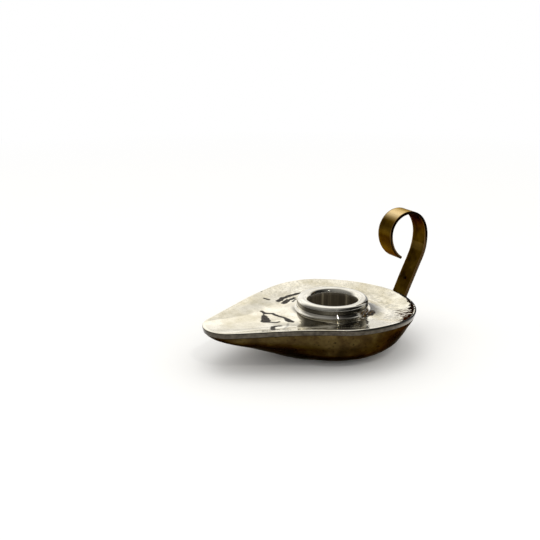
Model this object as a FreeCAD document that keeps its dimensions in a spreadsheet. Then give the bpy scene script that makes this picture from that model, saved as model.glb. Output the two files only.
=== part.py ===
import FreeCAD, Part
import math
import os
import Sketcher

# Chamberstick with a finger loop: a teardrop brass bowl with a flat foot, a hammered aluminium
# drip pan lying on its edge, a turned aluminium candle socket drawn down by one screw from below,
# and a brass strap handle riveted to the round end of the bowl and rolled over into a loop.
# +X points to the handle, +Z up. The origin is on the table, under the middle of the candle.

doc = FreeCAD.newDocument("chamberstick")
sheet = doc.addObject("Spreadsheet::Sheet", "sizes")

# Driving sizes, in millimetres and degrees
SIZES = [
    ("rim_height", 21.5, "top of the pan's rim above the table"),
    ("end_radius", 37.6, "round end of the rim, seen from above"),
    ("end_offset", 1.3, "middle of the round end, past the candle's axis"),
    ("tip_reach", 65.3, "pointed end of the rim from the candle's axis"),
    ("tip_radius", 12.3, "rounding of the pointed end"),
    ("band_height", 2.4, "bare edge of the pan that shows above the brass"),
    ("band_draft", 0.4, "how far that edge leans in over its height"),
    ("pan_lip", 0.9, "flat land round the pan's edge"),
    ("pan_depth", 2.8, "from the rim down to the flat under the socket"),
    ("pan_thickness", 2.0, "metal of the pan"),
    ("seat_margin", 0.6, "flat of the pan that shows round the socket"),
    ("register_height", 1.0, "step of the pan that drops into the bowl"),
    ("register_gap", 0.2, "play between that step and the bowl"),
    ("register_draft", 1.3, "how far the step leans in, as the bowl does"),
    ("belly_margin", 3.0, "flat under the pan, past the flat on top"),
    ("bowl_wall", 1.2, "brass sheet of the bowl"),
    ("foot_radius", 18.5, "round end of the flat foot"),
    ("foot_tip_reach", 24.0, "flat foot towards the pointed end"),
    ("recess_radius", 11.5, "ceiling of the hollow pushed up into the foot"),
    ("recess_flare", 2.0, "how much wider that hollow is at its mouth"),
    ("bore_radius", 11.5, "candle hole"),
    ("lip_rise", 2.4, "socket's lip above the rim"),
    ("lip_round", 1.0, "rounding inside the lip"),
    ("ring_wall", 5.1, "thick ring round the candle hole, at the socket's mouth"),
    ("ring_height", 3.3, "height of that ring"),
    ("ring_round", 1.3, "rounding of the ring"),
    ("neck_wall", 3.6, "groove under the ring, metal round the candle hole"),
    ("neck_height", 0.6, "height of the groove"),
    ("flange_wall", 6.1, "flared foot that sits on the pan, metal round the candle hole"),
    ("flange_edge", 0.3, "thickness of the flared foot at its edge"),
    ("cup_wall", 2.0, "metal round the candle hole, below the pan"),
    ("cup_floor", 2.6, "metal under the candle hole"),
    ("boss_height", 2.7, "from the bowl's floor up to the foot of the cup"),
    ("cup_gap", 0.15, "play of the cup in the pan's hole"),
    ("boss_radius", 7.0, "boss that stands on the bowl's floor"),
    ("screw_radius", 2.0, "thread of the screw"),
    ("thread_gap", 0.05, "play of the thread in the socket"),
    ("screw_hole_gap", 0.25, "play of the screw in the bowl's floor"),
    ("thread_room", 0.6, "tapped hole past the screw's end"),
    ("thread_cover", 1.3, "metal between the tapped hole and the candle hole"),
    ("thread_chamfer", 0.3, "chamfer at the screw's end"),
    ("screw_head_radius", 3.8, "pan head of the screw"),
    ("screw_head_height", 2.2, "pan head of the screw"),
    ("screw_head_round", 1.0, "rounding of that head"),
    ("head_clearance", 0.4, "that head above the table"),
    ("slot_width", 1.0, "driver slot"),
    ("slot_depth", 1.0, "driver slot"),
    ("washer_radius", 4.8, "washer under the head"),
    ("washer_thickness", 0.8, "washer under the head"),
    ("strap_width", 10.2, "brass strip of the handle"),
    ("strap_thickness", 1.3, "brass strip of the handle"),
    ("strap_corner", 1.6, "rounded corners of the strip's ends"),
    ("strap_seat_gap", 0.2, "strip to bowl where they touch"),
    ("strap_end_margin", 3.0, "lower end of the strip past the lower rivet"),
    ("stem_stand_off", 1.4, "degrees that the stem leans out past the bowl's wall"),
    ("stem_bend_radius", 25.3, "inner face where the stem turns upright"),
    ("stem_bend_rise", 26.1, "where the stem is upright, above the rim"),
    ("shoulder_radius", 14.5, "inner face of the first part of the loop"),
    ("shoulder_turn", 30.0, "degrees that this part turns"),
    ("crown_radius", 9.3, "inner face over the top of the loop"),
    ("curl_radius", 12.8, "inner face of the part that curls back in"),
    ("curl_turn", 59.2, "degrees that this part turns"),
    ("rivet_radius", 1.5, "shank of a rivet"),
    ("rivet_hole_gap", 0.05, "play of the shank in its holes"),
    ("rivet_head_radius", 2.5, "domed heads, outside and inside"),
    ("rivet_head_height", 1.1, "domed heads, outside and inside"),
    ("rivet_head_edge", 0.2, "upright edge of the domed heads"),
    ("rivet_head_space", 0.8, "between the two heads"),
    ("rivet_tail_gap", 0.25, "inner head to the curved wall"),
    ("rivet_first", 0.6, "upper rivet below the place where the strip touches"),
    ("overrun", 1.0, "how far a cutting shape runs past the metal"),
]

# Level outlines of the bowl from the band down to the foot: the share of the depth, how far the
# outline has come out from the foot's to the rim's at the round end and at the tip, and the
# shares of the wall by which the inner outline is smaller and higher, so the sheet stays even
bowl_level_shares = [
    (0.00, 1.000, 1.000, 1.00, 0.00),
    (0.27, 0.904, 0.844, 0.75, 0.75),
    (0.50, 0.775, 0.577, 0.66, 0.82),
    (0.71, 0.615, 0.342, 0.55, 0.86),
    (0.89, 0.326, 0.142, 0.39, 0.93),
    (1.00, 0.000, 0.000, 0.35, 1.00),
]

# The bowl's wall at its round end, at each of the levels that the handle's foot follows
WALL_LEVELS = range(4)

# Level outlines of the pan's dish from the rim down to the flat: the share of the depth, then
# how far the outline has come out from the socket's seat to the lip
dish_level_shares = [
    (0.00, 1.00),
    (0.42, 0.80),
    (0.76, 0.50),
    (1.00, 0.16),
]

RIVETS = ["rivet_upper", "rivet_lower"]

# The strip's arcs in order from its foot to its free end
ARC_RADII = ["foot_bend_radius", "stem_bend_radius", "shoulder_radius", "crown_radius", "curl_radius"]

# Two lengths that differ by less than this are the same
SAME_LENGTH = 0.001

# Sizes that follow from the ones above. The strip's foot is an arc on the bowl's wall: it touches
# at level 1, leans there as the wall does from level 0 to level 2, and reaches the wall at level 3.
DERIVED = [
    ("bowl_depth", "rim_height - band_height"),
    ("pan_flat_height", "rim_height - pan_depth"),
    ("pan_under_height", "pan_flat_height - pan_thickness"),
    ("lip_height", "rim_height + lip_rise"),
    ("ring_foot_height", "lip_height - ring_height"),
    ("recess_depth", "head_clearance + screw_head_height + washer_thickness"),
    ("recess_mouth_radius", "recess_radius + recess_flare"),
    ("bowl_floor_height", "recess_depth + bowl_wall"),
    ("cup_foot_height", "bowl_floor_height + boss_height"),
    ("bore_floor_height", "cup_foot_height + cup_floor"),
    ("tap_top_height", "bore_floor_height - thread_cover"),
    ("screw_top_height", "tap_top_height - thread_room"),
    ("cup_radius", "bore_radius + cup_wall"),
    ("ring_radius", "bore_radius + ring_wall"),
    ("neck_radius", "bore_radius + neck_wall"),
    ("flange_radius", "bore_radius + flange_wall"),
    ("washer_foot_height", "recess_depth - washer_thickness"),
    ("band_foot_radius", "end_radius - band_draft"),
    ("band_foot_tip", "tip_reach - band_draft"),
    ("seat_radius", "flange_radius + seat_margin"),
    *[(f"wall_reach_{level}", f"end_offset * (1 - bowl_depth_share_{level}) + foot_radius"
       f" + (band_foot_radius - foot_radius) * bowl_width_share_{level}") for level in WALL_LEVELS],
    *[(f"wall_rise_{level}", f"bowl_depth * (1 - bowl_depth_share_{level})")
      for level in WALL_LEVELS],
    ("seat_lean", "atan((wall_reach_0 - wall_reach_2) / (wall_rise_0 - wall_rise_2)) / 1 deg"),
    ("stem_lean", "atan((wall_reach_0 - wall_reach_1) / (wall_rise_0 - wall_rise_1)) / 1 deg"
     " + stem_stand_off"),
    ("foot_chord_across", "wall_reach_1 - wall_reach_3"),
    ("foot_chord_up", "wall_rise_1 - wall_rise_3"),
    ("foot_sag", "foot_chord_across * cos(seat_lean * 1 deg) - foot_chord_up * sin(seat_lean * 1 deg)"),
    ("wall_radius", "(foot_chord_across ^ 2 + foot_chord_up ^ 2) / foot_sag / 2"),
    ("foot_bend_radius", "wall_radius + strap_seat_gap"),
    ("foot_bend_x", "wall_reach_1 - wall_radius * cos(seat_lean * 1 deg)"),
    ("foot_bend_z", "wall_rise_1 + wall_radius * sin(seat_lean * 1 deg)"),
    ("rivet_pitch", "rivet_head_radius * 2 + rivet_head_space"),
    ("rivet_lean_0", "seat_lean + rivet_first / foot_bend_radius * 180 / pi"),
    ("rivet_lean_1", "rivet_lean_0 + rivet_pitch / foot_bend_radius * 180 / pi"),
    ("foot_end_lean", "rivet_lean_1 + strap_end_margin / foot_bend_radius * 180 / pi"),
    ("foot_end_height", "foot_bend_z - foot_bend_radius * sin(foot_end_lean * 1 deg)"),
    ("stem_bend_height", "rim_height + stem_bend_rise"),
    ("crown_height",
     "stem_bend_height + (shoulder_radius - crown_radius) * sin(shoulder_turn * 1 deg)"),
    ("curl_end_height", "crown_height - curl_radius * sin(curl_turn * 1 deg)"),
]


def fill_sheet():
    """Write every size and share into the spreadsheet, each with its alias."""
    rows = [(alias, str(value), note) for alias, value, note in SIZES]
    for index, shares in enumerate(bowl_level_shares):
        for word, share in zip(("depth", "width", "tip", "inset", "lift"), shares):
            rows.append((f"bowl_{word}_share_{index}", str(share), "level outline of the bowl"))
    for index, shares in enumerate(dish_level_shares):
        for word, share in zip(("depth", "width"), shares):
            rows.append((f"dish_{word}_share_{index}", str(share), "level outline of the dish"))
    for alias, formula in DERIVED:
        rows.append((alias, "=" + formula, "follows from the sizes above"))
    for row, (alias, value, note) in enumerate(rows, start=1):
        sheet.set(f"A{row}", alias)
        sheet.set(f"B{row}", value)
        sheet.setAlias(f"B{row}", alias)
        sheet.set(f"C{row}", note)
        doc.recompute()


def bound(expression):
    """The expression with each alias of the sheet written as sizes.alias."""
    pieces = []
    word = ""
    for letter in expression + " ":
        if letter.isalnum() or letter == "_":
            word += letter
            continue
        pieces.append(f"sizes.{word}" if word and sheet.getCellFromAlias(word) else word)
        pieces.append(letter)
        word = ""
    return "".join(pieces).strip()


def value_of(expression):
    """What the expression is worth with the sheet as it stands."""
    return float(sheet.evalExpression(bound(expression)))


def new_body(label):
    """A PartDesign body whose label is the sub-part's name."""
    body = doc.addObject("PartDesign::Body", label)
    body.Label = label
    return body


def new_sketch(body, name, role, height="0"):
    """An empty sketch on one of the body's origin planes, lifted along the plane's normal."""
    plane = next(item for item in body.Origin.OriginFeatures if item.Role == role)
    sketch = body.newObject("Sketcher::SketchObject", name)
    sketch.AttachmentSupport = (plane, [""])
    sketch.MapMode = "FlatFace"
    sketch.setExpression("AttachmentOffset.Base.z", bound(height))
    return sketch


def size_constraint(sketch, kind, where, expression):
    """Add a constraint whose size follows the sheet."""
    index = sketch.addConstraint(Sketcher.Constraint(kind, *where, value_of(expression)))
    sketch.setExpression(f"Constraints[{index}]", bound(expression))


def pin_point(sketch, where, across, up):
    """Hold a point of a sketch at a place given by two expressions from the sketch's origin."""
    for kind, expression, axis in (("DistanceX", across, -2), ("DistanceY", up, -1)):
        if expression == "0":
            sketch.addConstraint(Sketcher.Constraint("PointOnObject", *where, axis))
        else:
            size_constraint(sketch, kind, (-1, 1, *where), expression)


def teardrop(body, name, height, half_width, end_centre, tip):
    """A level outline: round end, two straight flanks and rounded tip, on the axis of X."""
    sketch = new_sketch(body, name, "XY_Plane", height)
    radius = value_of(half_width)
    tip_round = value_of("tip_radius")
    end_x = value_of(end_centre)
    tip_x = tip_round - value_of(tip)
    turn = math.pi - math.acos((radius - tip_round) / (end_x - tip_x))
    up = FreeCAD.Vector(0, 0, 1)
    end_circle = Part.Circle(FreeCAD.Vector(end_x, 0, 0), up, radius)
    tip_circle = Part.Circle(FreeCAD.Vector(tip_x, 0, 0), up, tip_round)
    end_arc = Part.ArcOfCircle(end_circle, -turn, turn)
    tip_arc = Part.ArcOfCircle(tip_circle, turn, 2 * math.pi - turn)
    sketch.addGeometry(end_arc)
    sketch.addGeometry(Part.LineSegment(end_arc.EndPoint, tip_arc.StartPoint))
    sketch.addGeometry(tip_arc)
    sketch.addGeometry(Part.LineSegment(tip_arc.EndPoint, end_arc.StartPoint))
    for piece in range(4):
        sketch.addConstraint(Sketcher.Constraint("Tangent", piece, 2, (piece + 1) % 4, 1))
    sketch.addConstraint(Sketcher.Constraint("PointOnObject", 0, 3, -1))
    sketch.addConstraint(Sketcher.Constraint("PointOnObject", 2, 3, -1))
    size_constraint(sketch, "Radius", (0,), half_width)
    size_constraint(sketch, "Radius", (2,), "tip_radius")
    size_constraint(sketch, "DistanceX", (2, 3, -1, 1), f"{tip} - tip_radius")
    size_constraint(sketch, "DistanceX", (2, 3, 0, 3), f"{tip} - tip_radius + {end_centre}")
    return sketch


def loft(body, kind, name, sketches, ruled=False):
    """An AdditiveLoft or SubtractiveLoft through level outlines."""
    feature = body.newObject(f"PartDesign::{kind}Loft", name)
    feature.Profile = sketches[0]
    feature.Sections = sketches[1:]
    feature.Ruled = ruled
    doc.recompute()
    return feature


def half_section(body, name, corners):
    """A closed half section in the XZ plane, each corner given as (radius, height)."""
    sketch = new_sketch(body, name, "XZ_Plane")
    places = [FreeCAD.Vector(value_of(across), value_of(up), 0) for across, up in corners]
    for index, place in enumerate(places):
        sketch.addGeometry(Part.LineSegment(place, places[(index + 1) % len(places)]))
    for index, (across, up) in enumerate(corners):
        before = (index - 1) % len(corners)
        sketch.addConstraint(Sketcher.Constraint("Coincident", before, 2, index, 1))
        pin_point(sketch, (index, 1), across, up)
    return sketch


def turned(body, kind, name, corners):
    """A Revolution or Groove of a half section about the upright axis."""
    sketch = half_section(body, name + "_section", corners)
    feature = body.newObject(f"PartDesign::{kind}", name)
    feature.Profile = sketch
    feature.ReferenceAxis = (sketch, ["V_Axis"])
    feature.Angle = 360
    doc.recompute()
    return feature


def dress_edges(body, kind, name, base, places, property_name, expression):
    """Round or chamfer the base feature's full circles at the given (radius, height) places."""
    wanted = [(value_of(radius), value_of(height)) for radius, height in places]
    edges = []
    for index, edge in enumerate(base.Shape.Edges, start=1):
        if not isinstance(edge.Curve, Part.Circle):
            continue
        circle = edge.Curve
        if any(abs(circle.Radius - radius) < SAME_LENGTH and abs(circle.Center.z - height) < SAME_LENGTH
               for radius, height in wanted):
            edges.append(f"Edge{index}")
    feature = body.newObject(f"PartDesign::{kind}", name)
    feature.Base = (base, edges)
    feature.setExpression(property_name, bound(expression))
    doc.recompute()
    return feature


def round_pocket(body, name, height, radius, across="0"):
    """A round hole straight through at a height, found from both sides of its sketch."""
    sketch = new_sketch(body, name + "_circle", "XY_Plane", height)
    middle = FreeCAD.Vector(value_of(across), 0, 0)
    sketch.addGeometry(Part.Circle(middle, FreeCAD.Vector(0, 0, 1), value_of(radius)))
    pin_point(sketch, (0, 3), across, "0")
    size_constraint(sketch, "Radius", (0,), radius)
    pocket = body.newObject("PartDesign::Pocket", name)
    pocket.Profile = sketch
    pocket.Type = "ThroughAll"
    pocket.Midplane = True
    doc.recompute()
    return pocket


def place_on_rivet(item, index, back="0"):
    """Tie an item's placement to a rivet's spot on the strip's inner face, its Z axis out
    through the strip, and step back along that axis."""
    item.Placement = FreeCAD.Placement(FreeCAD.Vector(), FreeCAD.Rotation(FreeCAD.Vector(0, 1, 0), 90))
    reach = f"(foot_bend_radius - ({back}))"
    lean = f"(rivet_lean_{index} * 1 deg)"
    item.setExpression("Placement.Base.x", bound(f"foot_bend_x + {reach} * cos{lean}"))
    item.setExpression("Placement.Base.z", bound(f"foot_bend_z - {reach} * sin{lean}"))
    item.setExpression("Placement.Rotation.Angle", bound(f"90 deg + {lean}"))


def rivet_hole(body, index, back, depth):
    """A round hole along a rivet's axis."""
    hole = body.newObject("PartDesign::SubtractiveCylinder", RIVETS[index] + "_hole")
    hole.setExpression("Radius", bound("rivet_radius + rivet_hole_gap"))
    hole.setExpression("Height", bound(depth))
    place_on_rivet(hole, index, back)
    doc.recompute()


def bowl_level(body, name, index, inset="0", lift="0"):
    """One level outline of the bowl, drawn in and lifted for the inside of the sheet."""
    share = f"bowl_width_share_{index}"
    half_width = f"(foot_radius + (band_foot_radius - foot_radius) * {share} - {inset})"
    share = f"bowl_tip_share_{index}"
    tip = f"(foot_tip_reach + (band_foot_tip - foot_tip_reach) * {share} - {inset})"
    rise = f"(1 - bowl_depth_share_{index})"
    return teardrop(body, f"{name}_{index}", f"bowl_depth * {rise} + {lift}", half_width,
                    f"end_offset * {rise}", tip)


def make_bowl():
    """Raised brass bowl, deep under the socket, with a shallow keel running out to the tip."""
    body = new_body("bowl_shell")
    levels = range(len(bowl_level_shares))
    loft(body, "Additive", "outside", [bowl_level(body, "outer", index) for index in levels])
    loft(body, "Subtractive", "inside", [
        bowl_level(body, "inner", index, f"bowl_wall * bowl_inset_share_{index}",
                   f"bowl_wall * bowl_lift_share_{index}") for index in levels])
    turned(body, "Revolution", "raised_floor", [
        ("0", "bowl_wall / 2"),
        ("recess_mouth_radius + bowl_wall", "bowl_wall / 2"),
        ("recess_mouth_radius + bowl_wall", "bowl_wall"),
        ("recess_radius + bowl_wall", "bowl_floor_height"),
        ("0", "bowl_floor_height"),
    ])
    turned(body, "Groove", "foot_hollow", [
        ("0", "-overrun"),
        ("recess_mouth_radius", "-overrun"),
        ("recess_mouth_radius", "0"),
        ("recess_radius", "recess_depth"),
        ("0", "recess_depth"),
    ])
    round_pocket(body, "screw_hole", "recess_depth", "screw_radius + screw_hole_gap")
    for index in range(len(RIVETS)):
        rivet_hole(body, index, "bowl_wall + overrun", "bowl_wall + overrun * 2")
    return body


def dish_level(body, index):
    """One level outline of the pan's hollow top."""
    share = f"dish_width_share_{index}"
    half_width = f"(seat_radius + (end_radius - pan_lip - seat_radius) * {share})"
    tip = f"(seat_radius + (tip_reach - pan_lip - seat_radius) * {share})"
    height = f"rim_height - pan_depth * dish_depth_share_{index}"
    return teardrop(body, f"dish_{index}", height, half_width, f"end_offset * {share}", tip)


def make_pan():
    """Dished aluminium drip pan: a bare edge on top of the brass and a step that drops inside."""
    body = new_body("drip_pan")
    foot = "rim_height - band_height"
    loft(body, "Additive", "edge_band", [
        teardrop(body, "rim_outline", "rim_height", "end_radius", "end_offset", "tip_reach"),
        teardrop(body, "band_foot_outline", foot, "band_foot_radius", "end_offset", "band_foot_tip"),
    ])
    inset = "(bowl_wall + register_gap)"
    lower = f"({inset} + register_draft)"
    flat = "(seat_radius + belly_margin)"
    loft(body, "Additive", "belly", [
        teardrop(body, "step_top", foot, f"(band_foot_radius - {inset})", "end_offset",
                 f"(band_foot_tip - {inset})"),
        teardrop(body, "step_foot", f"{foot} - register_height", f"(band_foot_radius - {lower})",
                 "end_offset", f"(band_foot_tip - {lower})"),
        teardrop(body, "belly_flat", "pan_under_height", flat, "end_offset",
                 f"({flat} + belly_margin)"),
    ], ruled=True)
    dish = [dish_level(body, index) for index in range(len(dish_level_shares))]
    loft(body, "Subtractive", "dish", dish)
    round_pocket(body, "cup_hole", "pan_under_height", "cup_radius + cup_gap")
    return body


def make_socket():
    """Turned aluminium candle socket: ring, groove, flared foot, and the cup below the pan."""
    body = new_body("candle_socket")
    blank = turned(body, "Revolution", "blank", [
        ("0", "bore_floor_height"),
        ("bore_radius", "bore_floor_height"),
        ("bore_radius", "lip_height"),
        ("ring_radius", "lip_height"),
        ("ring_radius", "ring_foot_height"),
        ("neck_radius", "ring_foot_height"),
        ("neck_radius", "ring_foot_height - neck_height"),
        ("flange_radius", "pan_flat_height + flange_edge"),
        ("flange_radius", "pan_flat_height"),
        ("cup_radius", "pan_flat_height"),
        ("cup_radius", "cup_foot_height"),
        ("boss_radius", "cup_foot_height"),
        ("boss_radius", "bowl_floor_height"),
        ("0", "bowl_floor_height"),
    ])
    ring = dress_edges(body, "Fillet", "ring_rounding", blank, [
        ("ring_radius", "lip_height"),
        ("ring_radius", "ring_foot_height"),
    ], "Radius", "ring_round")
    dress_edges(body, "Fillet", "lip_rounding", ring, [("bore_radius", "lip_height")],
                "Radius", "lip_round")
    turned(body, "Groove", "tapped_hole", [
        ("0", "bowl_floor_height - overrun"),
        ("screw_radius + thread_gap", "bowl_floor_height - overrun"),
        ("screw_radius + thread_gap", "tap_top_height"),
        ("0", "tap_top_height"),
    ])
    return body


def make_screw():
    """Slotted pan-head screw that stands in the foot's hollow and pulls the stack together."""
    body = new_body("socket_screw")
    head_foot = "head_clearance"
    blank = turned(body, "Revolution", "blank", [
        ("0", head_foot),
        ("screw_head_radius", head_foot),
        ("screw_head_radius", "washer_foot_height"),
        ("screw_radius", "washer_foot_height"),
        ("screw_radius", "screw_top_height"),
        ("0", "screw_top_height"),
    ])
    head = dress_edges(body, "Fillet", "head_rounding", blank, [("screw_head_radius", head_foot)],
                       "Radius", "screw_head_round")
    dress_edges(body, "Chamfer", "end_chamfer", head, [("screw_radius", "screw_top_height")],
                "Size", "thread_chamfer")
    slot = new_sketch(body, "slot_outline", "XY_Plane", head_foot)
    half_length = "(screw_head_radius + overrun)"
    half_width = "(slot_width / 2)"
    corners = [(half_length, half_width), (f"-{half_length}", half_width),
               (f"-{half_length}", f"-{half_width}"), (half_length, f"-{half_width}")]
    places = [FreeCAD.Vector(value_of(across), value_of(up), 0) for across, up in corners]
    for index, (across, up) in enumerate(corners):
        slot.addGeometry(Part.LineSegment(places[index - 1], places[index]))
    for index, (across, up) in enumerate(corners):
        following = (index + 1) % len(corners)
        slot.addConstraint(Sketcher.Constraint("Coincident", index, 2, following, 1))
        pin_point(slot, (index, 2), across, up)
    pocket = body.newObject("PartDesign::Pocket", "slot")
    pocket.Profile = slot
    pocket.Reversed = True
    pocket.setExpression("Length", bound("slot_depth"))
    doc.recompute()
    return body


def make_washer():
    """Flat washer between the screw's head and the bowl."""
    body = new_body("screw_washer")
    turned(body, "Revolution", "ring", [
        ("screw_radius + screw_hole_gap", "washer_foot_height"),
        ("washer_radius", "washer_foot_height"),
        ("washer_radius", "recess_depth"),
        ("screw_radius + screw_hole_gap", "recess_depth"),
    ])
    return body


def make_rivet(index, label):
    """Brass rivet through strip and bowl, with a domed head outside and a domed tail inside."""
    body = new_body(label)
    tail = "(strap_seat_gap + bowl_wall + rivet_tail_gap)"
    blank = turned(body, "Revolution", "blank", [
        ("0", "strap_thickness + rivet_head_height"),
        ("rivet_head_radius", "strap_thickness + rivet_head_height"),
        ("rivet_head_radius", "strap_thickness"),
        ("rivet_radius", "strap_thickness"),
        ("rivet_radius", f"-{tail}"),
        ("rivet_head_radius", f"-{tail}"),
        ("rivet_head_radius", f"-{tail} - rivet_head_height"),
        ("0", f"-{tail} - rivet_head_height"),
    ])
    dress_edges(body, "Fillet", "domes", blank, [
        ("rivet_head_radius", "strap_thickness + rivet_head_height"),
        ("rivet_head_radius", f"-{tail} - rivet_head_height"),
    ], "Radius", "rivet_head_height - rivet_head_edge")
    place_on_rivet(body, index)
    return body


def strip_line():
    """The strip's inner face seen from the side: foot on the bowl, stem, and the loop's arcs."""
    lean = math.radians(value_of("stem_lean"))
    radii = [value_of(name) for name in ARC_RADII]
    foot_middle = FreeCAD.Vector(value_of("foot_bend_x"), value_of("foot_bend_z"), 0)
    foot_turn = math.radians(value_of("foot_end_lean"))
    stem_foot = foot_middle + FreeCAD.Vector(math.cos(lean), -math.sin(lean), 0) * radii[0]
    stem_rise = value_of("stem_bend_height") - radii[1] * math.sin(lean) - stem_foot.y
    bend_foot = stem_foot + FreeCAD.Vector(math.tan(lean), 1, 0) * stem_rise
    bend_middle = bend_foot + FreeCAD.Vector(-math.cos(lean), math.sin(lean), 0) * radii[1]
    shoulder_middle = bend_middle + FreeCAD.Vector(radii[1] - radii[2], 0, 0)
    step = radii[2] - radii[3]
    shoulder_turn = math.radians(value_of("shoulder_turn"))
    turned_by = FreeCAD.Vector(math.cos(shoulder_turn), math.sin(shoulder_turn), 0)
    crown_middle = shoulder_middle + turned_by * step
    curl_middle = crown_middle + FreeCAD.Vector(radii[4] - radii[3], 0, 0)
    curl_turn = math.radians(value_of("curl_turn"))
    arcs = [
        (foot_middle, -foot_turn, -lean),
        (bend_middle, -lean, 0),
        (shoulder_middle, 0, shoulder_turn),
        (crown_middle, shoulder_turn, math.pi),
        (curl_middle, math.pi, math.pi + curl_turn),
    ]
    sketch = doc.addObject("Sketcher::SketchObject", "strip_line")
    sketch.Placement = FreeCAD.Placement(FreeCAD.Vector(), FreeCAD.Rotation(FreeCAD.Vector(1, 0, 0), 90))
    up = FreeCAD.Vector(0, 0, 1)
    for (middle, first, last), radius in zip(arcs, radii):
        sketch.addGeometry(Part.ArcOfCircle(Part.Circle(middle, up, radius), first, last))
    sketch.addGeometry(Part.LineSegment(stem_foot, bend_foot))
    foot, bend, shoulder, crown, curl, stem = range(6)
    chain = [foot, stem, bend, shoulder, crown, curl]
    for before, after in zip(chain, chain[1:]):
        sketch.addConstraint(Sketcher.Constraint("Tangent", before, 2, after, 1))
    for arc, name in enumerate(ARC_RADII):
        size_constraint(sketch, "Radius", (arc,), name)
    pin_point(sketch, (foot, 3), "foot_bend_x", "foot_bend_z")
    angle = sketch.addConstraint(Sketcher.Constraint("Angle", stem, math.pi / 2 - lean))
    sketch.setExpression(f"Constraints[{angle}]", bound("90 deg - stem_lean * 1 deg"))
    sketch.addConstraint(Sketcher.Constraint("Horizontal", bend, 3, bend, 2))
    sketch.addConstraint(Sketcher.Constraint("Horizontal", crown, 3, crown, 2))
    size_constraint(sketch, "DistanceY", (-1, 1, bend, 2), "stem_bend_height")
    size_constraint(sketch, "DistanceY", (-1, 1, crown, 3), "crown_height")
    size_constraint(sketch, "DistanceY", (-1, 1, curl, 2), "curl_end_height")
    size_constraint(sketch, "DistanceY", (-1, 1, foot, 1), "foot_end_height")
    return sketch


def make_strap():
    """Brass strip bent edgewise on: riveted foot, leaning stem and a loop for a finger."""
    section = doc.addObject("Part::Offset2D", "strip_section")
    section.Source = strip_line()
    section.setExpression("Value", bound("-strap_thickness"))
    section.Mode = "Skin"
    section.Fill = True
    strip = doc.addObject("Part::Extrusion", "strip")
    strip.Base = section
    strip.DirMode = "Custom"
    strip.Dir = FreeCAD.Vector(0, 1, 0)
    strip.setExpression("LengthFwd", bound("strap_width"))
    strip.Symmetric = True
    strip.Solid = True
    doc.recompute()
    body = new_body("handle_strap")
    body.BaseFeature = strip
    doc.recompute()
    base = body.Group[0]
    thickness = value_of("strap_thickness")
    corners = [f"Edge{index}" for index, edge in enumerate(base.Shape.Edges, start=1)
               if isinstance(edge.Curve, Part.Line) and abs(edge.Length - thickness) < SAME_LENGTH]
    rounded = body.newObject("PartDesign::Fillet", "corner_rounding")
    rounded.Base = (base, corners)
    rounded.setExpression("Radius", bound("strap_corner"))
    doc.recompute()
    for index in range(len(RIVETS)):
        rivet_hole(body, index, "overrun", "strap_thickness + overrun * 2")
    return body


def write_parts(bodies):
    """Check every object and solid, then write each sub-part under its own name."""
    doc.recompute()
    for item in doc.Objects:
        if "Invalid" in item.State or "Error" in item.State:
            raise RuntimeError(f"{item.Label} failed: {item.State}")
    os.makedirs("parts", exist_ok=True)
    for body in bodies:
        shape = body.Shape
        if shape.isNull() or not shape.isValid() or not shape.Solids:
            raise RuntimeError(f"{body.Label} is not a sound solid")
    for body in bodies:
        body.Shape.exportStep(f"parts/{body.Label}.step")
        box = body.Shape.BoundBox
        print(f"{body.Label}: {len(body.Shape.Solids)} solid, {body.Shape.Volume:.0f} mm3, "
              f"X {box.XMin:.1f} to {box.XMax:.1f}, Y {box.YMin:.1f} to {box.YMax:.1f}, "
              f"Z {box.ZMin:.1f} to {box.ZMax:.1f}")


fill_sheet()
write_parts([
    make_bowl(),
    make_pan(),
    make_socket(),
    make_screw(),
    make_washer(),
    make_strap(),
    *[make_rivet(index, label) for index, label in enumerate(RIVETS)],
])
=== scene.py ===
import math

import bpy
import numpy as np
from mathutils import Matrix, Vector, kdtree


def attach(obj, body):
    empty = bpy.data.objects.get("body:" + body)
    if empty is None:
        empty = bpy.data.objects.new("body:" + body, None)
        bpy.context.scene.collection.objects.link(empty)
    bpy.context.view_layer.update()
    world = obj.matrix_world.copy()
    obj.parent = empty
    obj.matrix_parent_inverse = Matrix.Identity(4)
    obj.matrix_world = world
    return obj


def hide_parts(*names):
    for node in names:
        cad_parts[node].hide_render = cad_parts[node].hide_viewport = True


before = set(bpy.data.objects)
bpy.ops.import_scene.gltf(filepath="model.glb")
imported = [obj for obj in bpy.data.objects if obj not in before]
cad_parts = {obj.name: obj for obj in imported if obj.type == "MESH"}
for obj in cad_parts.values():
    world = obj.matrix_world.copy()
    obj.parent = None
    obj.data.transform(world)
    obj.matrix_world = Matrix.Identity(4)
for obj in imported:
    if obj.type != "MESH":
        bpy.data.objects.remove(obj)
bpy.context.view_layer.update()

# A chamberstick with a finger loop: a raised brass bowl, a hammered aluminium drip pan,
# a turned aluminium candle socket and a rolled brass strap riveted to the bowl.
# The socket's axis is the z axis and the table is at z = 0; the strap is on the +x side.
# Sizes of the pieces are in millimetres, and a mesh is turned to metres as it is made.
# Lamps and camera are placed in metres; the scales of the materials' patterns are per metre.

MM = 0.001

# The bowl and the pan: heights above the table and reaches from the socket's axis.
RIM_HEIGHT = 21.5
BAND_FOOT = 19.1
SEAT_HEIGHT = 18.7
END_RADIUS = 37.6
TIP_REACH = 65.3
TIP_RADIUS = 12.3
END_OFFSET = 1.3
BAND_DRAFT = 0.4
PAN_LIP = 0.9
PAN_THICKNESS = 2.0
EDGE_ROUND = 0.5
PAN_HOLE = 13.65
SEAT_RADIUS = 18.2
FOOT_RADIUS = 18.5
FOOT_TIP = 24.0
RECESS_MOUTH = 13.5
RECESS_TOP = 11.5
RECESS_DEPTH = 3.4
BOWL_WALL = 1.2
SCREW_HOLE = 2.25
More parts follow.
